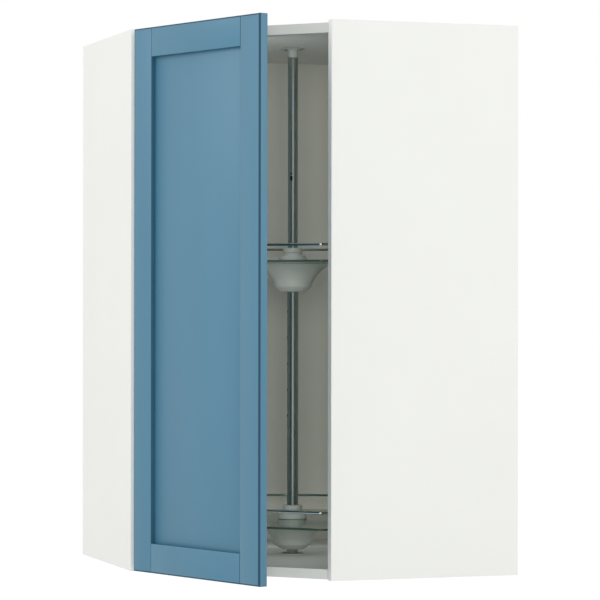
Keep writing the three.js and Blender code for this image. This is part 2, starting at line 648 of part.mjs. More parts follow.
function upperTube() {
  const bore = UPPER_TUBE_RADIUS - UPPER_TUBE_WALL;
  const reach = UPPER_TUBE_RADIUS + 1;
  const tube = turned([
    [bore, UPPER_TUBE_FOOT], [UPPER_TUBE_RADIUS, UPPER_TUBE_FOOT],
    [UPPER_TUBE_RADIUS, UPPER_TUBE_TOP], [bore, UPPER_TUBE_TOP],
  ]);
  const middles = [-0.5, 0, 0.5].map((end) => SLOT_HEIGHT + end * (SLOT_LENGTH - 2 * HOLE_RADIUS));
  return cut(
    tube,
    throughHole(UPPER_PIN),
    ...middles.map((height) => crossBar(height, SLOT_DEGREES, HOLE_RADIUS, 0, reach)),
    crossBar(SLOT_HEIGHT + SLOT_HOLE, SLOT_DEGREES, SLOT_HOLE_RADIUS, 0, reach),
  );
}

// A round plate with a stepped boss. Each step is [radius, height off the board]; up is 1 on the
// floor and -1 at the ceiling.
function tubeBracket(seat, up, steps) {
  const corners = [];
  [[FOOT_RADIUS, FOOT_PLATE], ...steps].reduce((low, [radius, high]) => {
    corners.push([radius, seat + up * low], [radius, seat + up * high]);
    return high;
  }, 0);
  const axis = [[0, corners[corners.length - 1][1]], [0, seat]];
  const reach = [seat - up, seat + up * (FOOT_PLATE + 1)].sort((a, b) => a - b);
  return cut(
    turned([...corners, ...axis]),
    ...SCREW_PLACES.map((at) => post(at, SCREW_RADIUS + SEAT_GAP, ...reach)),
  );
}

function bracketScrew(at, seat, up) {
  const under = seat + up * (FOOT_PLATE + SEAT_GAP);
  const crown = under + up * SCREW_HEAD;
  const shank = [under - up * (SCREW_DEPTH + FOOT_PLATE), under + (up * SCREW_HEAD) / 2];
  return join(
    post(at, SCREW_RADIUS, Math.min(...shank), Math.max(...shank), 8),
    post(at, SCREW_HEAD_RADIUS, Math.min(under, crown), Math.max(under, crown), 16),
  );
}

place(cabinet, 'pole_lower_tube', lowerTube(), CHROME);
place(cabinet, 'pole_upper_tube', upperTube(), CHROME);
place(cabinet, 'pole_floor_bracket', tubeBracket(PLATE_SEAT, 1, [
  [LOWER_TUBE_BORE - SEAT_GAP, FOOT_PLATE + SPIGOT],
]), DARK_PLASTIC);
place(cabinet, 'pole_ceiling_bracket', tubeBracket(CEILING_SEAT, -1, [
  [UPPER_TUBE_RADIUS, FOOT_PLATE + CEILING_BOSS],
  [UPPER_TUBE_RADIUS - UPPER_TUBE_WALL - SEAT_GAP, FOOT_PLATE + CEILING_BOSS + SPIGOT],
]), GREY_PLASTIC);

SCREW_PLACES.forEach((at, i) => {
  place(cabinet, `floor_bracket_screw_${i + 1}`, bracketScrew(at, PLATE_SEAT, 1), ZINC);
  place(cabinet, `ceiling_bracket_screw_${i + 1}`, bracketScrew(at, CEILING_SEAT, -1), ZINC);
});

// ---------------------------------------------------------------- trays

// A tray's outline, inset from the edge of the glass: an arc about the axis and a straight
// front, with rounded corners between them, anticlockwise from the right end of the front.
function trayOutline(inset, arcSteps, cornerSteps) {
  const corner = TRAY_CORNER - inset;
  const y = -(TRAY_FLAT - TRAY_CORNER);
  const x = Math.sqrt((TRAY_RADIUS - TRAY_CORNER) ** 2 - y ** 2);
  const turn = Math.atan2(y, x);
  return [
    ...arc(x, y, corner, -Math.PI / 2, turn, cornerSteps),
    ...arc(0, 0, TRAY_RADIUS - inset, turn, Math.PI - turn, arcSteps).slice(1, -1),
    ...arc(-x, y, corner, Math.PI - turn, 1.5 * Math.PI, cornerSteps),
  ];
}

// A wire of round section along a closed plan outline. At each corner of the outline the wire's
// points lie in the plane that halves the bend.
function wireRing(outline, height, radius, sides = 8) {
  const count = outline.length;
  const positions = [];
  const index = [];
  outline.forEach((point, i) => {
    const onward = outline[(i + 1) % count].clone().sub(point).normalize();
    const inbound = point.clone().sub(outline[(i + count - 1) % count]).normalize();
    const run = onward.add(inbound).normalize();
    for (let side = 0; side < sides; side += 1) {
      const angle = (2 * Math.PI * (side + 0.5)) / sides;
      const out = radius * Math.cos(angle);
      positions.push(point.x + run.y * out, point.y - run.x * out, height + radius * Math.sin(angle));
      const a = i * sides + side;
      const b = i * sides + ((side + 1) % sides);
      const c = ((i + 1) % count) * sides + side;
      const d = ((i + 1) % count) * sides + ((side + 1) % sides);
      index.push(a, c, b, b, c, d);
    }
  });
  const geometry = new THREE.BufferGeometry();
  geometry.setAttribute('position', new THREE.Float32BufferAttribute(positions, 3));
  geometry.setIndex(index);
  return geometry;
}

// Where a ray from the axis crosses the wire's centre line.
function postPlace(degrees) {
  const angle = THREE.MathUtils.degToRad(degrees - 90);
  const toFlat = (TRAY_FLAT - RAIL_INSET) / Math.max(-Math.sin(angle), 0.01);
  const radius = Math.min(TRAY_RADIUS - RAIL_INSET, toFlat);
  return new THREE.Vector2(radius * Math.cos(angle), radius * Math.sin(angle));
}

function rail(glassTop) {
  const centre = glassTop + RAIL_HEIGHT;
  const foot = glassTop + SEAT_GAP;
  const posts = POSTS_AT.map(postPlace).flatMap((at) => [
    post(at, POST_RADIUS, foot + POST_FOOT / 2, centre, 8),
    post(at, POST_FOOT_RADIUS, foot, foot + POST_FOOT),
  ]);
  return join(wireRing(trayOutline(RAIL_INSET, 44, 4), centre, WIRE_RADIUS), ...posts);
}

// Points one wall thickness inside the funnel's outer face, between floor and mouth.
function funnelInside() {
  const last = FUNNEL_PROFILE.length - 1;
  return FUNNEL_PROFILE.map(([height, radius], i) => {
    const [h0, r0] = FUNNEL_PROFILE[Math.max(i - 1, 0)];
    const [h1, r1] = FUNNEL_PROFILE[Math.min(i + 1, last)];
    const run = Math.hypot(h1 - h0, r1 - r0);
    return [height + (FUNNEL_WALL * (r1 - r0)) / run, radius - (FUNNEL_WALL * (h1 - h0)) / run];
  }).slice(2, last);
}

// The shell under the glass, with the web that carries it and the sleeve round the pole.
function funnel(foot, sleeveTop) {
  const inside = funnelInside();
  const [mouthHeight, mouthRadius] = inside[inside.length - 1];
  const floorTop = foot + FUNNEL_WALL;
  const web = foot + WEB_HEIGHT;
  const shell = turned([
    [FUNNEL_BORE, foot],
    ...FUNNEL_PROFILE.map(([height, radius]) => [radius, foot + height]),
    [mouthRadius + 2 * (FUNNEL_HEIGHT - mouthHeight), foot + FUNNEL_HEIGHT],
    ...inside.map(([height, radius]) => [radius, foot + height]).reverse(),
    [inside[0][1] - 2 * FUNNEL_WALL, floorTop],
    [FUNNEL_BORE, floorTop],
  ], 36);
  const sleeve = turned([
    [SLEEVE_BORE, web], [WEB_RADIUS, web], [WEB_RADIUS, web + WEB], [SLEEVE_RADIUS, web + WEB],
    [SLEEVE_RADIUS, sleeveTop], [SLEEVE_BORE, sleeveTop],
  ], 36);
  return join(shell, sleeve);
}

function glassPlate(low) {
  const hole = circle(ORIGIN, SLEEVE_RADIUS + SEAT_GAP, 36).reverse();
  return slab(trayOutline(0, 60, 5), low, low + GLASS, [hole]);
}

function hubFlange(seat) {
  const bore = SLEEVE_RADIUS + SEAT_GAP;
  const crown = seat + FLANGE_HEIGHT;
  return turned([
    [bore, seat], [FLANGE_RADIUS, seat], [FLANGE_RADIUS, seat + FLANGE_EDGE],
    [FLANGE_CROWN_RADIUS + 2, crown - 2], [FLANGE_CROWN_RADIUS, crown], [NECK_RADIUS, crown],
    [NECK_RADIUS, crown + NECK_HEIGHT], [bore, crown + NECK_HEIGHT],
  ]);
}

function hubCollar(seat) {
  const top = seat + COLLAR_HEIGHT;
  const edge = COLLAR_RADIUS - COLLAR_CHAMFER;
  return turned([
    [SLEEVE_BORE, seat], [edge, seat], [COLLAR_RADIUS, seat + COLLAR_CHAMFER],
    [COLLAR_RADIUS, top - COLLAR_CHAMFER], [edge, top], [SLEEVE_BORE, top],
  ]);
}

function bearingRing(seat) {
  const bore = LOWER_TUBE_RADIUS + SEAT_GAP;
  const top = seat + RING_HEIGHT;
  return turned([[bore, seat], [RING_RADIUS, seat], [RING_RADIUS, top], [bore, top]], 24);
}

for (const [word, foot, pin] of [['lower', LOWER_FUNNEL, LOWER_PIN], ['upper', UPPER_FUNNEL, UPPER_PIN]]) {
  const glassLow = foot + FUNNEL_HEIGHT + SEAT_GAP;
  const glassTop = glassLow + GLASS;
  const flangeSeat = glassTop + SEAT_GAP;
  const collarSeat = flangeSeat + FLANGE_HEIGHT + NECK_HEIGHT + SEAT_GAP;
  const pinReach = SUPPORT_PIN_LENGTH / 2;
  place(cabinet, `${word}_support_pin`,
    crossBar(pin, HOLE_DEGREES, SUPPORT_PIN_RADIUS, -pinReach, pinReach), ZINC);
  place(cabinet, `${word}_bearing_ring`, bearingRing(pin + PIN_TO_RING), DARK_PLASTIC);
  place(cabinet, `${word}_tray_funnel`, funnel(foot, glassTop + SLEEVE_STANDOUT), GREY_PLASTIC);
  place(cabinet, `${word}_tray_glass`, glassPlate(glassLow), CLEAR_GLASS);
  place(cabinet, `${word}_tray_rail`, rail(glassTop), CHROME);
  place(cabinet, `${word}_hub_flange`, hubFlange(flangeSeat), GREY_PLASTIC);
  place(cabinet, `${word}_hub_collar`, hubCollar(collarSeat), GREY_PLASTIC);
}

export default cabinet;
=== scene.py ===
"""Looks of the corner carousel cabinet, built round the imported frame.

Lengths in this file are millimetres until they reach Blender, which gets metres. Pieces of the
door are written in the door's own directions: x from its hinge edge, y from its face backwards.
"""

import math

import bmesh
import bpy
from mathutils import Matrix, Vector


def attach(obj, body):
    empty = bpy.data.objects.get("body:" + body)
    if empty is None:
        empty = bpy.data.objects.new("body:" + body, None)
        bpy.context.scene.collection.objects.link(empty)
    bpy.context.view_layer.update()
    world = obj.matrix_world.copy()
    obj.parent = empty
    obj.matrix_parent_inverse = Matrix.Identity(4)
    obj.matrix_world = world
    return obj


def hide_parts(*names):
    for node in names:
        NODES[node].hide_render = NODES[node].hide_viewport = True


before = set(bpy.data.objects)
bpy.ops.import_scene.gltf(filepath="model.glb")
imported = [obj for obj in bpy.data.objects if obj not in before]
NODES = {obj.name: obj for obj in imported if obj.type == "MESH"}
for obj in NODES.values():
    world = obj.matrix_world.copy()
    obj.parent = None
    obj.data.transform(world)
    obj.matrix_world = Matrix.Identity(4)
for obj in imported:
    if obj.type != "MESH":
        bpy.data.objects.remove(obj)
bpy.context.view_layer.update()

MM = 0.001
HALF = math.sqrt(0.5)

# ------------------------------------------------------------------ sizes repeated from the CAD

DOOR_WIDTH, DOOR_HEIGHT, DOOR_THICKNESS = 378.0, 1013.0, 18.0
DOOR_CORNER = (-197.979, -270.243)
DOOR_ANGLE = math.radians(24.45)
STILE = 55.0
PANEL_RECESS = 8.5
PANEL_BOARD = 6.0
PANEL_GROOVE = 8.0
SEAT_GAP = 0.3
HINGE_LEVELS = (("lower", 110.0), ("middle", 506.5), ("upper", 903.0))
CUP_CENTRE = 22.5
CUP_RADIUS = 17.5
CUP_FLOOR = 5.5
CUP_BACK = 19.5
MOUNT_MIDDLE, MOUNT_FACE, ARM_FACE = 45.0, 20.3, 30.6
SLEEVE_BORE, SLEEVE_RADIUS = 11.2, 14.6
LOWER_FUNNEL, UPPER_FUNNEL = 29.0, 523.5
FUNNEL_HEIGHT = 53.2
GLASS = 4.0
TRAY_RADIUS, TRAY_FLAT, TRAY_CORNER = 250.0, 197.0, 15.0
RAIL_HEIGHT, RAIL_INSET, WIRE_RADIUS = 28.5, 4.0, 2.5
POSTS_AT = (-46, 46, 113, 180, 247)      # degrees from the middle of the straight edge
LOWER_TUBE = (10.7, 0.9, 20.2, 560.0)    # radius, wall, lower end, upper end
UPPER_TUBE = (9.5, 1.2, 500.0, 974.2)
HOLE_HEIGHTS = (285, 335, 385, 435, 485, 535, 40.5)
HOLE_RADIUS = 2.35
HOLE_ANGLE = math.radians(49.2)
SLOT_ANGLE = math.radians(-82)
SLOT_HEIGHT = 741.5
PIN_HEIGHT = 535.0
DIMPLE_ABOVE, DIMPLE_RADIUS = 9.0, 1.8

door_place = (Matrix.Translation((DOOR_CORNER[0], DOOR_CORNER[1], 0))
              @ Matrix.Rotation(-DOOR_ANGLE, 4, "Z"))

# ------------------------------------------------------------------ materials

RAMP_STOPS = (0.3, 0.7)
LEAST_ROUGHNESS = 0.02
BUMP_DEPTH = 0.0004


def srgb(r, g, b):
    """A colour given as 0 to 255, as linear RGBA."""
    def channel(v):
        v /= 255
        return v / 12.92 if v <= 0.04045 else ((v + 0.055) / 1.055) ** 2.4
    return (channel(r), channel(g), channel(b), 1.0)


def material(name, colour, roughness, metallic=0.0, tone=0.03, tone_scale=6.0, stretch=(1, 1, 1),
             grain=260.0, bump=0.04, rough_swing=0.06, **sockets):
    """A Principled material whose colour, roughness and height come from two noises.

    tone is how far the colour swings about its value, over patches of 1 / tone_scale metres, and
    grain is the scale of the fine surface texture. sockets sets more inputs of the shader."""
    mat = bpy.data.materials.new(name)
    mat.use_nodes = True
    nodes, links = mat.node_tree.nodes, mat.node_tree.links
    shader = nodes["Principled BSDF"]
    place = nodes.new("ShaderNodeTexCoord")
    mapping = nodes.new("ShaderNodeMapping")
    mapping.inputs["Scale"].default_value = stretch
    links.new(place.outputs["Object"], mapping.inputs["Vector"])
    patches = nodes.new("ShaderNodeTexNoise")
    patches.inputs["Scale"].default_value = tone_scale
    patches.inputs["Detail"].default_value = 4
    links.new(mapping.outputs["Vector"], patches.inputs["Vector"])
    ramp = nodes.new("ShaderNodeValToRGB")
    dark = [c * (1 - tone) for c in colour[:3]] + [1]
    light = [min(1.0, c * (1 + tone)) for c in colour[:3]] + [1]
    for stop, position, shade in zip(ramp.color_ramp.elements, RAMP_STOPS, (dark, light)):
        stop.position = position
        stop.color = shade
    links.new(patches.outputs["Fac"], ramp.inputs["Fac"])
    links.new(ramp.outputs["Color"], shader.inputs["Base Color"])
    fine = nodes.new("ShaderNodeTexNoise")
    fine.inputs["Scale"].default_value = grain
    fine.inputs["Detail"].default_value = 3
    links.new(mapping.outputs["Vector"], fine.inputs["Vector"])
    rough = nodes.new("ShaderNodeMapRange")
    rough.inputs["To Min"].default_value = max(LEAST_ROUGHNESS, roughness - rough_swing)
    rough.inputs["To Max"].default_value = roughness + rough_swing
    links.new(fine.outputs["Fac"], rough.inputs["Value"])
    links.new(rough.outputs["Result"], shader.inputs["Roughness"])
    if bump:
        height = nodes.new("ShaderNodeBump")
        height.inputs["Strength"].default_value = bump
        height.inputs["Distance"].default_value = BUMP_DEPTH
        links.new(fine.outputs["Fac"], height.inputs["Height"])
        links.new(height.outputs["Normal"], shader.inputs["Normal"])
    shader.inputs["Metallic"].default_value = metallic
    for socket, value in sockets.items():
        shader.inputs[socket.replace("_", " ")].default_value = value
    return mat


WHITE = material("white_melamine", srgb(236, 237, 232), 0.5, tone=0.008, grain=900, bump=0.03)
BAND = material("edge_band", srgb(221, 223, 218), 0.45, tone=0.01, grain=700, bump=0.03)
BAND_SHADED = material("edge_band_shaded", srgb(203, 205, 200), 0.45, tone=0.01, grain=700,
                       bump=0.03)
# Painted light: brighter than the white board itself, to lift the shade that the door casts on the
# side panels' front edge bands.
BAND_PAINTED_LIGHT = material("edge_band_painted_light", srgb(249, 250, 247), 0.45, tone=0.005, grain=700,
                      bump=0.03)
BACK = material("back_board", srgb(240, 239, 229), 0.6, tone=0.012, grain=800, bump=0.04)
BLUE = material("blue_lacquer", srgb(73, 124, 149), 0.42, tone=0.035, tone_scale=9,
                stretch=(1, 1, 0.12), grain=420, bump=0.05)
# Painted shade: a dark tone on the door's rounded outer front edges, standing in for the dark
# reflection and shading there. The same tone marks the joint lines at the rails' ends.
BLUE_SHADE_AND_JOINT = material("blue_lacquer_painted_shade_and_joint", srgb(18, 66, 90), 0.6, tone=0.05, tone_scale=9,
                     grain=420, bump=0.05)
# Painted shade: a darker tone for the recess walls between the frame's face and the centre panel.
BLUE_STEP_SHADE = material("blue_lacquer_step_painted_shade", srgb(50, 96, 118), 0.42, tone=0.05, tone_scale=9,
                     grain=420, bump=0.05)
CHROME = material("chrome", (0.62, 0.66, 0.66, 1), 0.09, metallic=1, tone=0.03, tone_scale=30,
                  grain=500, bump=0.01, rough_swing=0.02)
STEEL = material("pole_steel", (0.46, 0.52, 0.50, 1), 0.34, metallic=1, tone=0.03,
                 tone_scale=12, grain=900, bump=0.005, rough_swing=0.02)
TUBE_INSIDE = material("tube_inside", srgb(40, 46, 46), 0.6, metallic=0.3, tone=0.08,
                       tone_scale=60, grain=900, bump=0.05)
NICKEL = material("nickel", (0.60, 0.60, 0.57, 1), 0.24, metallic=1, tone=0.04, tone_scale=60,
                  grain=1500, bump=0.03)
ZINC = material("zinc", (0.52, 0.53, 0.54, 1), 0.38, metallic=1, tone=0.08, tone_scale=90,
                grain=1800, bump=0.06)
GREY = material("grey_plastic", srgb(196, 202, 195), 0.48, tone=0.015, tone_scale=20,
                grain=1600, bump=0.08)
DARK = material("dark_plastic", srgb(70, 74, 71), 0.5, tone=0.05, tone_scale=30, grain=1600,
                bump=0.08)
CLEAR = material("clear_bumper", srgb(222, 228, 228), 0.25, tone=0.02, grain=1200, bump=0.02)
GLASS_MAT = material("tray_glass", srgb(158, 192, 171), 0.1, tone=0.01, grain=30, bump=0.0,
                     rough_swing=0.01, Transmission_Weight=0.93, IOR=1.5,
                     Specular_IOR_Level=0.25)
GLASS_EDGE = material("tray_glass_edge", srgb(76, 96, 85), 0.2, tone=0.03, tone_scale=40,
                      grain=300, bump=0.02, Transmission_Weight=0.3, IOR=1.5)

# ------------------------------------------------------------------ mesh helpers

SMOOTH_BELOW = 35.0                      # degrees between faces that are shaded as one
ON_AXIS = 1e-6                           # a radius under this is a point on the axis
SHARP_TURN = 1.2                         # radians between faces whose edge gets eased


def new_object(name, mesh, *materials):
    for mat in materials:
        mesh.materials.append(mat)
    obj = bpy.data.objects.new(name, mesh)
    bpy.context.scene.collection.objects.link(obj)
    return obj


def finish_mesh(bm, name, *materials, smooth=SMOOTH_BELOW, place=None):
    """Turns a bmesh in millimetres into an object in metres, smooth except at sharp edges."""
    bmesh.ops.recalc_face_normals(bm, faces=bm.faces)
    bm.transform(Matrix.Scale(MM, 4))
    if place is not None:
        shift = place.copy()
        shift.translation = shift.translation * MM
        bm.transform(shift)
    for face in bm.faces:
        face.smooth = True
    mesh = bpy.data.meshes.new(name)
    bm.to_mesh(mesh)
    bm.free()
    obj = new_object(name, mesh, *materials)
    mesh.set_sharp_from_angle(angle=math.radians(smooth))
    return obj


def carve(obj, *cutters, smooth=SMOOTH_BELOW):
    """Cuts objects out of obj, applies the result and deletes the cutters."""
    for cutter in cutters:
        step = obj.modifiers.new("cut", "BOOLEAN")
        step.operation = "DIFFERENCE"
        step.solver = "EXACT"
        step.object = cutter
    bpy.context.view_layer.update()
    settled = obj.evaluated_get(bpy.context.evaluated_depsgraph_get())
    solid = bpy.data.meshes.new_from_object(settled)
    obj.modifiers.clear()
    old, obj.data = obj.data, solid
    bpy.data.meshes.remove(old)
    for cutter in cutters:
        bpy.data.objects.remove(cutter)
    for polygon in solid.polygons:
        polygon.use_smooth = True
    solid.set_sharp_from_angle(angle=math.radians(smooth))
    return obj


def rounded(points, radii, steps=5):
    """A closed 2-D outline with its corners rounded. radii is one number, or one per point."""
    count = len(points)
    radii = [radii] * count if isinstance(radii, (int, float)) else radii
    out = []
    for i, corner in enumerate(points):
        here = Vector(corner)
        before = Vector(points[i - 1]) - here
        after = Vector(points[(i + 1) % count]) - here
        angle = before.angle(after)
        radius = radii[i]
        reach = radius / math.tan(angle / 2) if radius else 0
        reach = min(reach, before.length * 0.49, after.length * 0.49)
        if reach < 1e-4 or angle > math.pi - 0.02:
            out.append(tuple(here))
            continue
        start = here + before.normalized() * reach
        end = here + after.normalized() * reach
        for step in range(steps + 1):
            t = step / steps
            bend = (1 - t) ** 2 * start + 2 * t * (1 - t) * here + t ** 2 * end
            out.append(tuple(bend))
    return out


def lathe(name, section, mat, segments=72, centre=(0, 0), radii=0.0, smooth=SMOOTH_BELOW):
    """A closed section of (radius, height), turned about a vertical axis."""
    points = rounded(section, radii) if radii else section
    bm = bmesh.new()
    rings = []
    turns = [2 * math.pi * k / segments for k in range(segments)]
    for radius, height in points:
        if radius < ON_AXIS:
            rings.append([bm.verts.new((centre[0], centre[1], height))])
            continue
        rings.append([bm.verts.new((centre[0] + radius * math.cos(turn),
                                    centre[1] + radius * math.sin(turn), height))
                      for turn in turns])
    for i, ring in enumerate(rings):
        onward = rings[(i + 1) % len(rings)]
        if len(ring) == 1 and len(onward) == 1:
            continue
        for k in range(segments):
            quad = [ring[k % len(ring)], ring[(k + 1) % len(ring)],
                    onward[(k + 1) % len(onward)], onward[k % len(onward)]]
            corners = list(dict.fromkeys(quad))
            if len(corners) > 2:
                bm.faces.new(corners)
    return finish_mesh(bm, name, mat, smooth=smooth)


def block(name, x, y, z, *materials, edge=0.5, soft=(), soft_radius=3.0, place=None):
    """A board with every edge eased. soft lists tests of an edge's middle; the edges that pass one
    get soft_radius, and their faces the second material."""
    bm = bmesh.new()
    bmesh.ops.create_cube(bm, size=1)
    for vert in bm.verts:
        vert.co = Vector(((x[0] + x[1]) / 2 + vert.co.x * (x[1] - x[0]),
                          (y[0] + y[1]) / 2 + vert.co.y * (y[1] - y[0]),
                          (z[0] + z[1]) / 2 + vert.co.z * (z[1] - z[0])))
    def middle(e):
        return (e.verts[0].co + e.verts[1].co) / 2
    chosen = [e for e in bm.edges if any(test(middle(e)) for test in soft)]
    if chosen:
        bmesh.ops.bevel(bm, geom=chosen, offset=soft_radius, segments=6, profile=0.5,
                        affect="EDGES", material=1, clamp_overlap=True)
    rest = [e for e in bm.edges if e.is_manifold and e.calc_face_angle(0) > SHARP_TURN]
    if edge and rest:
        bmesh.ops.bevel(bm, geom=rest, offset=edge, segments=2, profile=0.5, affect="EDGES",
                        clamp_overlap=True, material=-1)
    return finish_mesh(bm, name, *materials, place=place)


def rod(name, start, end, radius, mat, segments=24):
    """A round bar between two points."""
    start, end = Vector(start), Vector(end)
    axis = end - start
    bm = bmesh.new()
    bmesh.ops.create_cone(bm, cap_ends=True, segments=segments, radius1=radius, radius2=radius,
                          depth=axis.length)
    bm.transform(Vector((0, 0, 1)).rotation_difference(axis).to_matrix().to_4x4())
    bm.transform(Matrix.Translation((start + end) / 2))
    return finish_mesh(bm, name, mat)


def outline_slab(name, outline, hole, low, high, *materials, edge=0.5):
    """A flat plate of an outline with a round hole, with eased edges. Its sides get the second
    material."""
    def loop(points, z):
        return [bm.verts.new((px, py, z)) for px, py in points]
    bm = bmesh.new()
    loops = []
    for points, sign in ((outline, -1), (hole, 1)):
        inset = []
        count = len(points)
        for i in range(count):
            run = Vector(points[(i + 1) % count]) - Vector(points[i - 1])
            out = Vector((run.y, -run.x)).normalized()
            inset.append((points[i][0] + sign * out.x * edge, points[i][1] + sign * out.y * edge))
        loops.append([loop(inset, low), loop(points, low + edge), loop(points, high - edge),
                      loop(inset, high)])
    for rings in loops:
        for lower, upper in zip(rings, rings[1:]):
            for k in range(len(lower)):
                face = bm.faces.new([lower[k], lower[(k + 1) % len(lower)],
                                     upper[(k + 1) % len(upper)], upper[k]])
                face.material_index = 1
    for level in (0, 3):
        edges = []
        for rings in loops:
            ring = rings[level]
            for k in range(len(ring)):
                edges.append(bm.edges.get((ring[k], ring[(k + 1) % len(ring)]))
                             or bm.edges.new((ring[k], ring[(k + 1) % len(ring)])))
        bmesh.ops.triangle_fill(bm, use_beauty=True, use_dissolve=False, edges=edges)
    return finish_mesh(bm, name, *materials)


def wire_loop(name, outline, height, radius, mat, sides=16):
    """A wire of round section along a closed plan outline."""
    bm = bmesh.new()
    rings = []
    count = len(outline)
    for i in range(count):
        here = Vector(outline[i])
        run = (Vector(outline[(i + 1) % count]) - Vector(outline[i - 1])).normalized()
        out = Vector((run.y, -run.x))
        rings.append([bm.verts.new((here.x + out.x * radius * math.cos(2 * math.pi * k / sides),
                                    here.y + out.y * radius * math.cos(2 * math.pi * k / sides),
                                    height + radius * math.sin(2 * math.pi * k / sides)))
                      for k in range(sides)])
    for i in range(count):
        a, b = rings[i], rings[(i + 1) % count]
        for k in range(sides):
            bm.faces.new([a[k], b[k], b[(k + 1) % sides], a[(k + 1) % sides]])
    return finish_mesh(bm, name, mat, smooth=60)


def merge(name, *objects):
    """Several objects as one piece."""
    bpy.ops.object.select_all(action="DESELECT")
    for obj in objects:
        obj.select_set(True)
    bpy.context.view_layer.objects.active = objects[0]
    bpy.ops.object.join()
    objects[0].name = name
    return objects[0]


def piece(obj, body, slot, *nodes):
    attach(obj, body)
    if nodes:
        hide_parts(*nodes)
    return obj


# ------------------------------------------------------------------ camera

CAMERA_AT = (2.3367, -4.7067, 0.4927)
PAN, PITCH, ROLL = (math.radians(v) for v in (-26.25, 0.16, 0.07))
FOCAL_PIXELS, PICTURE = 2727.6, 600
SENSOR = 36.0

forward = Vector((math.sin(PAN) * math.cos(PITCH), math.cos(PAN) * math.cos(PITCH),
                  math.sin(PITCH)))
right = Vector((math.cos(PAN), -math.sin(PAN), 0))
up = right.cross(forward)
right, up = (right * math.cos(ROLL) + up * math.sin(ROLL),
             up * math.cos(ROLL) - right * math.sin(ROLL))
camera_data = bpy.data.cameras.new("camera")
camera_data.sensor_width = SENSOR
camera_data.lens = FOCAL_PIXELS * SENSOR / PICTURE
camera_data.clip_end = 100
camera = bpy.data.objects.new("camera", camera_data)
camera.matrix_world = Matrix(((right.x, up.x, -forward.x, CAMERA_AT[0]),
                              (right.y, up.y, -forward.y, CAMERA_AT[1]),
                              (right.z, up.z, -forward.z, CAMERA_AT[2]),
                              (0, 0, 0, 1)))
bpy.context.scene.collection.objects.link(camera)
bpy.context.scene.camera = camera

# ------------------------------------------------------------------ door

RAIL_SPAN = (STILE + SEAT_GAP, DOOR_WIDTH - STILE - SEAT_GAP)
THROUGH = (0, DOOR_THICKNESS)
GROOVE_PLAY = 0.2
GROOVE_Y = (PANEL_RECESS - GROOVE_PLAY, PANEL_RECESS + PANEL_BOARD + GROOVE_PLAY)
GROOVE_PAST = 7.0                        # how far a stile's groove runs on behind the rails
PANEL_INSERT = 6.8                       # how deep the centre panel sits in the grooves
FRONT_EDGE = 3.0                         # radius of the outer front edges
RAIL_EASE = 0.8                          # radius of the rails' other edges
NEAR = 0.01                              # an edge this near a plane lies on it
STEP_REACH = 0.3                         # the same for a face of the frame's inner walls
FACING = 0.6                             # least share of a normal that points along an axis


def front_edge(at_x=None, at_z=None):
    """A test for the front edge of a door member at an outer side or end."""
    def test(m):
        on_side = at_x is not None and abs(m.x - at_x) < NEAR
        on_end = at_z is not None and abs(m.z - at_z) < NEAR
        return abs(m.y) <= NEAR and (on_side or on_end)
    return test


def repaint(obj, mat, wanted):
    """Gives mat to the faces for which wanted says yes to their centre and normal, both in the
    door's own directions."""
    back = door_place.copy()
    back.translation *= MM
    back.invert()
    obj.data.materials.append(mat)
    for polygon in obj.data.polygons:
        if wanted(back @ polygon.center / MM, back.to_3x3() @ polygon.normal):
            polygon.material_index = len(obj.data.materials) - 1


def paint_step_shade(obj, inner_x=None, inner_z=None):
    """Gives the walls between the frame's face and the centre panel a darker tone of painted
    shade.
    """
    def wanted(centre, normal):
        beside = inner_x is not None and abs(centre.x - inner_x) < STEP_REACH
        level = inner_z is not None and abs(centre.z - inner_z) < STEP_REACH
        wall = (beside and abs(normal.x) > FACING) or (level and abs(normal.z) > FACING)
        return wall and centre.y <= PANEL_RECESS
    repaint(obj, BLUE_STEP_SHADE, wanted)


def joint_lines(obj):
    """The eased front edges at a rail's ends are dark along the open joint: partly a joint line,
    partly painted shade.
    """
    def wanted(centre, normal):
        return centre.y < RAIL_EASE and min(abs(centre.x - end) for end in RAIL_SPAN) < RAIL_EASE
    repaint(obj, BLUE_SHADE_AND_JOINT, wanted)


def groove(x, z):
    return block("cutter", x, GROOVE_Y, z, edge=0, place=door_place)


# The rounded outer front edges of the stiles and rails get the dark tone of painted shade as their
# second material.
for side, inner in (("left", STILE), ("right", DOOR_WIDTH - STILE)):
    outer = 0 if side == "left" else DOOR_WIDTH
    outer_edges = (front_edge(at_x=outer), front_edge(at_z=0), front_edge(at_z=DOOR_HEIGHT))
    stile = block(f"{side}_stile", sorted((outer, inner)), THROUGH, (0, DOOR_HEIGHT),
                  BLUE, BLUE_SHADE_AND_JOINT, edge=0.5, soft=outer_edges, soft_radius=FRONT_EDGE,
                  place=door_place)
    lip = PANEL_GROOVE if side == "left" else -PANEL_GROOVE
    cutters = [groove(sorted((inner - lip, inner + lip)),
                      (STILE - GROOVE_PAST, DOOR_HEIGHT - STILE + GROOVE_PAST))]
    if side == "left":
        for _, level in HINGE_LEVELS:
            front = door_place @ Vector((CUP_CENTRE, CUP_FLOOR, level))
            back = door_place @ Vector((CUP_CENTRE, DOOR_THICKNESS + 2, level))
            cutters.append(rod("cutter", front, back, CUP_RADIUS, BLUE, segments=64))
    carve(stile, *cutters)
    paint_step_shade(stile, inner_x=inner)
    piece(stile, "door", "blue_board", f"door_{side}_stile")

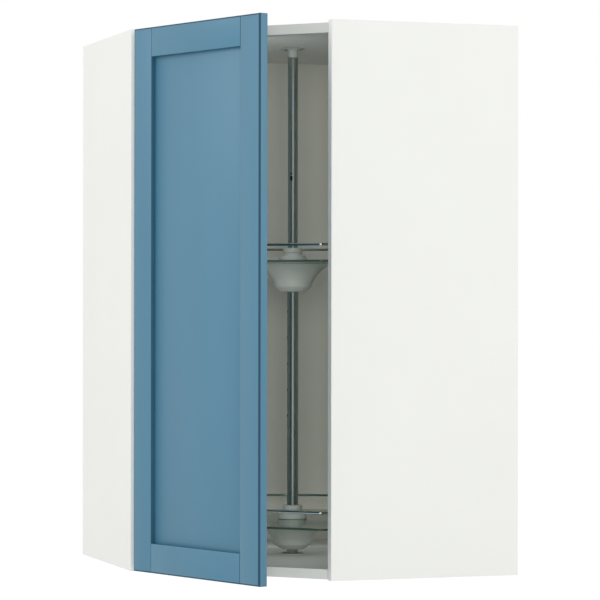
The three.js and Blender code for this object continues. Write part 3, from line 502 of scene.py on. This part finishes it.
for end, low in (("bottom", 0), ("top", DOOR_HEIGHT - STILE)):
    high = low + STILE
    outer, inner = (low, high) if end == "bottom" else (high, low)
    rail = block(f"{end}_rail", RAIL_SPAN, THROUGH, (low, high), BLUE, BLUE_SHADE_AND_JOINT, edge=RAIL_EASE,
                 soft=(front_edge(at_z=outer),), soft_radius=FRONT_EDGE, place=door_place)
    lip = PANEL_GROOVE if end == "bottom" else -PANEL_GROOVE
    carve(rail, groove((0, DOOR_WIDTH), sorted((inner - lip, inner + lip))))
    paint_step_shade(rail, inner_z=inner)
    joint_lines(rail)
    piece(rail, "door", "blue_board", f"door_{end}_rail")

PANEL_EDGE = STILE - PANEL_INSERT
centre_panel = block("centre_panel", (PANEL_EDGE, DOOR_WIDTH - PANEL_EDGE),
                     (PANEL_RECESS, PANEL_RECESS + PANEL_BOARD),
                     (PANEL_EDGE, DOOR_HEIGHT - PANEL_EDGE), BLUE, edge=0.3, place=door_place)
piece(centre_panel, "door", "blue_board", "door_centre_panel")

# ------------------------------------------------------------------ carousel pole

SLOT_STEP = 1.3                          # between the round cuts that make up the slot
PAST_TUBE = 20.0                         # how far a cutter reaches from the pole's axis
BORE_SHARE = 0.3                         # of the wall, under which a face is inside the tube


def cross_cutter(height, angle, radius, start, end):
    run = Vector((math.cos(angle), math.sin(angle), 0))
    lift = Vector((0, 0, height))
    return rod("cutter", lift + run * start, lift + run * end, radius, DARK, segments=24)


def pole_tube(name, size):
    radius, wall, low, high = size
    section = [(radius - wall, low), (radius, low), (radius, high), (radius - wall, high)]
    return lathe(name, section, STEEL, segments=96, radii=0.25)


def darken_inside(tube, size):
    """A tube's bore, ends and hole walls get a dark colour."""
    radius, wall = size[:2]
    tube.data.materials.append(TUBE_INSIDE)
    for polygon in tube.data.polygons:
        if polygon.center.xy.length < (radius - BORE_SHARE * wall) * MM:
            polygon.material_index = len(tube.data.materials) - 1


lower_tube = pole_tube("lower_tube", LOWER_TUBE)
carve(lower_tube, *[cross_cutter(height, HOLE_ANGLE, HOLE_RADIUS, -PAST_TUBE, PAST_TUBE)
                    for height in HOLE_HEIGHTS])
darken_inside(lower_tube, LOWER_TUBE)
piece(lower_tube, "cabinet", "chrome", "pole_lower_tube")
upper_tube = pole_tube("upper_tube", UPPER_TUBE)
carve(upper_tube, cross_cutter(PIN_HEIGHT, HOLE_ANGLE, HOLE_RADIUS, -PAST_TUBE, PAST_TUBE),
      *[cross_cutter(SLOT_HEIGHT + step * SLOT_STEP, SLOT_ANGLE, HOLE_RADIUS, 0, PAST_TUBE)
        for step in (-2, -1, 0, 1, 2)],
      cross_cutter(SLOT_HEIGHT + DIMPLE_ABOVE, SLOT_ANGLE, DIMPLE_RADIUS, 0, PAST_TUBE))
darken_inside(upper_tube, UPPER_TUBE)
piece(upper_tube, "cabinet", "chrome", "pole_upper_tube")

# ------------------------------------------------------------------ trays


def arc(x, y, radius, start, end, steps):
    return [(x + radius * math.cos(start + (end - start) * k / steps),
             y + radius * math.sin(start + (end - start) * k / steps)) for k in range(steps + 1)]


def tray_outline(inset, steps=180, corner_steps=12):
    corner = TRAY_CORNER - inset
    y = -(TRAY_FLAT - TRAY_CORNER)
    x = math.sqrt((TRAY_RADIUS - TRAY_CORNER) ** 2 - y ** 2)
    turn = math.atan2(y, x)
    return (arc(x, y, corner, -math.pi / 2, turn, corner_steps)
            + arc(0, 0, TRAY_RADIUS - inset, turn, math.pi - turn, steps)[1:-1]
            + arc(-x, y, corner, math.pi - turn, 1.5 * math.pi, corner_steps))


def post_place(degrees):
    angle = math.radians(degrees - 90)
    to_flat = (TRAY_FLAT - RAIL_INSET) / max(-math.sin(angle), 0.01)
    radius = min(TRAY_RADIUS - RAIL_INSET, to_flat)
    return (radius * math.cos(angle), radius * math.sin(angle))


# Sections as (radius, height over the piece's foot), and the rounding radii of their corners.
FUNNEL_OUTSIDE = [(22.5, 0), (25.2, 1.5), (36, 9), (38.3, 19.5), (46.4, 31), (54.5, 40),
                  (67.4, 49), (80, 53.2)]
FUNNEL_INSIDE = [(77, 53.2), (66, 50.6), (53, 42), (44.6, 32.4), (36.2, 20.6), (36.0, 20.1)]
WEB_UNDERSIDE = [(34.5, 17), (33.6, 9.6), (24.4, 2.3), (13, 2.2), (13, 0)]
WEB_TOP, WEB_LOW = 20.1, 17
OUTSIDE_RADII = [0.4, 2, 5, 12, 30, 30, 20, 0.6]
INSIDE_RADII = [0.6, 8, 20, 20, 1, 0.4]
SLEEVE_RADII = [1.2, 0.6, 0.4, 0.4]
UNDER_RADII = [1, 2, 2, 0.4, 0.4]
SLEEVE_ABOVE_GLASS = 12
POST_RADIUS = 2.2
POST_FOOT = [(0, 0), (5, 0), (5, 2), (3.4, 3), (POST_RADIUS, 4.4)]
HUB_BORE = SLEEVE_RADIUS + SEAT_GAP
CROWN = 11.2
FLANGE = [(HUB_BORE, 0), (27.2, 0), (27.2, 2.7), (25.6, 9.2), (23.5, CROWN), (17, CROWN),
          (17, CROWN + 5.2), (HUB_BORE, CROWN + 5.2)]
FLANGE_RADII = [0.3, 0.6, 1.5, 1.5, 1, 0.6, 0.6, 0.3]
COLLAR_FOOT = CROWN + 5.5
COLLAR = [(SLEEVE_BORE, 0), (18.6, 0), (18.6, 9.4), (SLEEVE_BORE, 9.4)]
COLLAR_RADII = [0.4, 1.2, 1.2, 0.5]


def raised(section, foot):
    return [(radius, foot + height) for radius, height in section]


def funnel_section(foot, sleeve_top):
    """Outer face, mouth, inner face down to the web, sleeve, and the space under the web."""
    shell = raised(FUNNEL_OUTSIDE + FUNNEL_INSIDE, foot)
    sleeve = [(SLEEVE_RADIUS, foot + WEB_TOP), (SLEEVE_RADIUS, sleeve_top),
              (SLEEVE_BORE, sleeve_top), (SLEEVE_BORE, foot + WEB_LOW)]
    radii = OUTSIDE_RADII + INSIDE_RADII + SLEEVE_RADII + UNDER_RADII
    return rounded(shell + sleeve + raised(WEB_UNDERSIDE, foot), radii, steps=4)


for word, foot in (("lower", LOWER_FUNNEL), ("upper", UPPER_FUNNEL)):
    body = f"{word}_tray"
    glass_low = foot + FUNNEL_HEIGHT + SEAT_GAP
    glass_top = glass_low + GLASS
    shell = lathe(f"{word}_funnel_shell", funnel_section(foot, glass_top + SLEEVE_ABOVE_GLASS),
                  GREY, segments=96)
    piece(shell, body, "grey_plastic", f"{word}_tray_funnel")

    plate = outline_slab(f"{word}_glass_plate", tray_outline(0),
                         arc(0, 0, HUB_BORE, 0, 2 * math.pi, 64)[:-1],
                         glass_low, glass_top, GLASS_MAT, GLASS_EDGE)
    piece(plate, body, "glass", f"{word}_tray_glass")

    wire_centre = glass_top + RAIL_HEIGHT
    seat = glass_top + SEAT_GAP
    post = raised(POST_FOOT, seat) + [(POST_RADIUS, wire_centre), (0, wire_centre)]
    parts = [wire_loop("wire", tray_outline(RAIL_INSET), wire_centre, WIRE_RADIUS, CHROME)]
    for degrees in POSTS_AT:
        parts.append(lathe("post", post, CHROME, segments=24, centre=post_place(degrees)))
    piece(merge(f"{word}_rail", *parts), body, "chrome", f"{word}_tray_rail")

    flange = lathe(f"{word}_flange", raised(FLANGE, seat), GREY, radii=FLANGE_RADII)
    piece(flange, body, "grey_plastic", f"{word}_hub_flange")
    collar = lathe(f"{word}_collar", raised(COLLAR, seat + COLLAR_FOOT), GREY, radii=COLLAR_RADII)
    piece(collar, body, "grey_plastic", f"{word}_hub_collar")

# ------------------------------------------------------------------ hinge screws

INWARD = Vector((HALF, HALF, 0))         # from the left side panel into the cabinet
ALONG = Vector((-HALF, HALF, 0))         # along it, from its front edge to the wall
PANEL_CORNER = Vector((-208.172, -262.3, 0))
MOUNT_SCREW, ARM_SCREW, CUP_SCREW = (3.6, 1.7), (3.0, 1.0), (3.4, 1.6)    # radius and height
MOUNT_SCREWS_AT, CUP_SCREWS_AT = (-16, 16), (-25, 25)                     # from a hinge's level
ARM_SCREWS_AT = (33, 50)                                                  # from the front edge


def screw_head(spot, normal, radius, height):
    """A pan head with a cross recess, its flat side at spot and its crown towards normal."""
    section = [(0, 0), (radius, 0), (radius, 0.4 * height), (0.7 * radius, height), (0, height)]
    head = lathe("screw", section, NICKEL, segments=32, radii=[0, 0.1, 0.8, 0.8, 0])
    reach, half = 0.6 * radius, 0.13 * radius
    depth = (0.45 * height, height + 1)
    carve(head, block("cutter", (-reach, reach), (-half, half), depth, NICKEL, edge=0),
          block("cutter", (-half, half), (-reach, reach), depth, NICKEL, edge=0))
    turn = Vector((0, 0, 1)).rotation_difference(normal).to_matrix().to_4x4()
    head.data.transform(Matrix.Translation(spot * MM) @ turn)
    return head


def on_panel(along, inward, height):
    return PANEL_CORNER + ALONG * along + INWARD * inward + Vector((0, 0, height))


door_back = (door_place.to_3x3() @ Vector((0, 1, 0))).normalized()
for word, level in HINGE_LEVELS:
    fixing = [screw_head(on_panel(MOUNT_MIDDLE, MOUNT_FACE, level + dz), INWARD, *MOUNT_SCREW)
              for dz in MOUNT_SCREWS_AT]
    piece(merge(f"{word}_mount_screws", *fixing), "cabinet", "nickel")
    setting = [screw_head(on_panel(along, ARM_FACE, level), INWARD, *ARM_SCREW)
               for along in ARM_SCREWS_AT]
    piece(merge(f"{word}_arm_screws", *setting), "cabinet", "nickel")
    ears = [screw_head(door_place @ Vector((CUP_CENTRE, CUP_BACK, level + dz)), door_back,
                       *CUP_SCREW)
            for dz in CUP_SCREWS_AT]
    piece(merge(f"{word}_cup_screws", *ears), "door", "nickel")

# ------------------------------------------------------------------ pole brackets

BRACKET = [(0, 991.7), (23, 991.7), (23, 990.1), (11.5, 990.1), (9.5, 988.6), (9.5, 974.5),
           (7.9, 974.5), (7.9, 960), (0, 960)]
BRACKET_RADII = [0, 0.4, 0.6, 1.5, 1, 0.4, 0.1, 1, 0]
BRACKET_HOLES, BRACKET_HOLE_RADIUS = (-17, 17), 1.9

ceiling_bracket = lathe("ceiling_bracket", BRACKET, GREY, radii=BRACKET_RADII)
carve(ceiling_bracket, *[rod("cutter", (x, 0, 985), (x, 0, 995), BRACKET_HOLE_RADIUS, GREY)
                         for x in BRACKET_HOLES])
piece(ceiling_bracket, "cabinet", "grey_plastic", "pole_ceiling_bracket")

# ------------------------------------------------------------------ finishes of the CAD pieces

CAD_SMOOTH_BELOW, COPLANAR_BELOW, EASED_ABOVE = 30, 1, 50                 # degrees between faces


def dress(name, mat, edge=0.0):
    """A CAD node keeps its shape and gets a finish, smooth shading and eased edges."""
    obj = NODES[name]
    obj.data.materials.clear()
    obj.data.materials.append(mat)
    for polygon in obj.data.polygons:
        polygon.use_smooth = True
        polygon.material_index = 0
    obj.data.set_sharp_from_angle(angle=math.radians(CAD_SMOOTH_BELOW))
    if edge:
        flat = obj.modifiers.new("flat", "DECIMATE")
        flat.decimate_type = "DISSOLVE"
        flat.angle_limit = math.radians(COPLANAR_BELOW)
        ease = obj.modifiers.new("ease", "BEVEL")
        ease.width = edge * MM
        ease.segments = 2
        ease.limit_method = "ANGLE"
        ease.angle_limit = math.radians(EASED_ABOVE)
        ease.harden_normals = True


for side in ("left", "right"):
    dress(f"{side}_side_panel", WHITE, 0.3)
    # The front edge bands get the brighter tone of painted light.
    dress(f"{side}_edge_band", BAND_PAINTED_LIGHT, 0.3)
    dress(f"{side}_back_panel", BACK)
    dress(f"{side}_wall_bracket", ZINC, 0.3)
    dress(f"{side}_bracket_bolt", ZINC, 0.3)
for end, band in (("top", BAND_SHADED), ("bottom", BAND)):
    dress(f"{end}_panel", WHITE)
    dress(f"{end}_edge_band", band, 0.3)
dress("back_corner_angle", ZINC)
for word, _ in HINGE_LEVELS:
    dress(f"{word}_hinge_mount", NICKEL, 0.3)
    dress(f"{word}_hinge_arm", NICKEL, 0.3)
    dress(f"{word}_hinge_outer_link", NICKEL, 0.2)
    dress(f"{word}_hinge_inner_link", NICKEL, 0.2)
    dress(f"{word}_hinge_cup", NICKEL, 0.2)
for word in ("lower", "upper"):
    dress(f"{word}_support_pin", ZINC, 0.3)
    dress(f"{word}_bearing_ring", DARK, 0.2)
    dress(f"{word}_door_bumper", CLEAR, 0.5)
dress("pole_floor_bracket", GREY, 0.2)
for end in ("floor", "ceiling"):
    for k in (1, 2):
        dress(f"{end}_bracket_screw_{k}", ZINC, 0.2)

# ------------------------------------------------------------------ stage and light

FLOOR_Z = -0.12
FLOOR_SIZE = 60
FLOOR_LIT, FLOOR_SEEN, FLOOR_GLOW = 0.85, 0.35, 0.75
WORLD_LIGHT, WORLD_SEEN = 0.73, 1.0


def any_ray(nodes, links, *kinds):
    """1 for a ray of any of these Light Path kinds."""
    path = nodes.new("ShaderNodeLightPath")
    value = path.outputs[kinds[0]]
    for kind in kinds[1:]:
        both = nodes.new("ShaderNodeMath")
        both.operation = "MAXIMUM"
        links.new(value, both.inputs[0])
        links.new(path.outputs[kind], both.inputs[1])
        value = both.outputs[0]
    return value


SEEN = ("Is Camera Ray", "Is Glossy Ray", "Is Transmission Ray")


def stage_material():
    """White where it is seen, except that the object's shadow still darkens it a little. It is
    clear from below, so that the object's underside can be looked at."""
    mat = bpy.data.materials.new("stage_white")
    mat.use_nodes = True
    nodes, links = mat.node_tree.nodes, mat.node_tree.links
    nodes.remove(nodes["Principled BSDF"])
    lit = nodes.new("ShaderNodeBsdfDiffuse")
    lit.inputs["Color"].default_value = (FLOOR_LIT, FLOOR_LIT, FLOOR_LIT, 1)
    shaded = nodes.new("ShaderNodeBsdfDiffuse")
    shaded.inputs["Color"].default_value = (FLOOR_SEEN, FLOOR_SEEN, FLOOR_SEEN, 1)
    glow = nodes.new("ShaderNodeEmission")
    glow.inputs["Strength"].default_value = FLOOR_GLOW
    together = nodes.new("ShaderNodeAddShader")
    links.new(shaded.outputs[0], together.inputs[0])
    links.new(glow.outputs[0], together.inputs[1])
    choice = nodes.new("ShaderNodeMixShader")
    links.new(any_ray(nodes, links, *SEEN), choice.inputs[0])
    links.new(lit.outputs[0], choice.inputs[1])
    links.new(together.outputs[0], choice.inputs[2])
    upper_side = nodes.new("ShaderNodeMixShader")
    links.new(nodes.new("ShaderNodeNewGeometry").outputs["Backfacing"], upper_side.inputs[0])
    links.new(choice.outputs[0], upper_side.inputs[1])
    links.new(nodes.new("ShaderNodeBsdfTransparent").outputs[0], upper_side.inputs[2])
    links.new(upper_side.outputs[0], nodes["Material Output"].inputs[0])
    return mat


bpy.ops.mesh.primitive_plane_add(size=FLOOR_SIZE, location=(0, 0, FLOOR_Z))
floor = bpy.context.object
floor.name = "floor"
floor.data.materials.append(stage_material())

world = bpy.data.worlds.new("studio")
bpy.context.scene.world = world
world.use_nodes = True
wn, wl = world.node_tree.nodes, world.node_tree.links
background = wn["Background"]
background.inputs["Color"].default_value = (1, 1, 1, 1)
background.inputs["Strength"].default_value = WORLD_LIGHT
white = wn.new("ShaderNodeBackground")
white.inputs["Color"].default_value = (1, 1, 1, 1)
white.inputs["Strength"].default_value = WORLD_SEEN
mix = wn.new("ShaderNodeMixShader")
wl.new(any_ray(wn, wl, *SEEN), mix.inputs[0])
wl.new(background.outputs[0], mix.inputs[1])
wl.new(white.outputs[0], mix.inputs[2])
wl.new(mix.outputs[0], wn["World Output"].inputs[0])


def area(name, location, target, size, power):
    """A soft lamp of size = (width, height) that looks at target."""
    data = bpy.data.lights.new(name, "AREA")
    data.shape = "RECTANGLE"
    data.size, data.size_y = size
    data.energy = power
    obj = bpy.data.objects.new(name, data)
    obj.location = location
    obj.rotation_euler = (Vector(target) - Vector(location)).to_track_quat("-Z", "Y").to_euler()
    bpy.context.scene.collection.objects.link(obj)
    return obj


area("key", (-3.0, -2.6, 2.6), (0, 0, 0.5), (2.5, 2.5), 42)
area("fill", (3.4, 0.2, 2.2), (0, 0, 0.5), (2.5, 2.5), 20)
front = area("front", (2.4, -4.9, 0.9), (0, 0, 0.5), (1.2, 1.2), 60)
front.visible_glossy = False
# These stand in for light that glass trays let through. They are hidden from view.
for lamp in (area("inside", (0.0, -0.225, 0.54), (0.03, 0.3, 0.54), (0.2, 0.86), 0.345),
             area("below_tray", (0, 0, 0.0805), (0, 0, 0), (0.36, 0.36), 0.11),
             area("above_tray", (0, 0, 0.62), (0, 0, 1), (0.36, 0.36), 0.022),
             area("behind_tray", (-0.04, 0.14, 0.055), (-0.148, 0.298, 0.055), (0.3, 0.04), 0.02)):
    lamp.visible_camera = lamp.visible_glossy = lamp.visible_transmission = False

bpy.context.scene.view_settings.view_transform = "Standard"
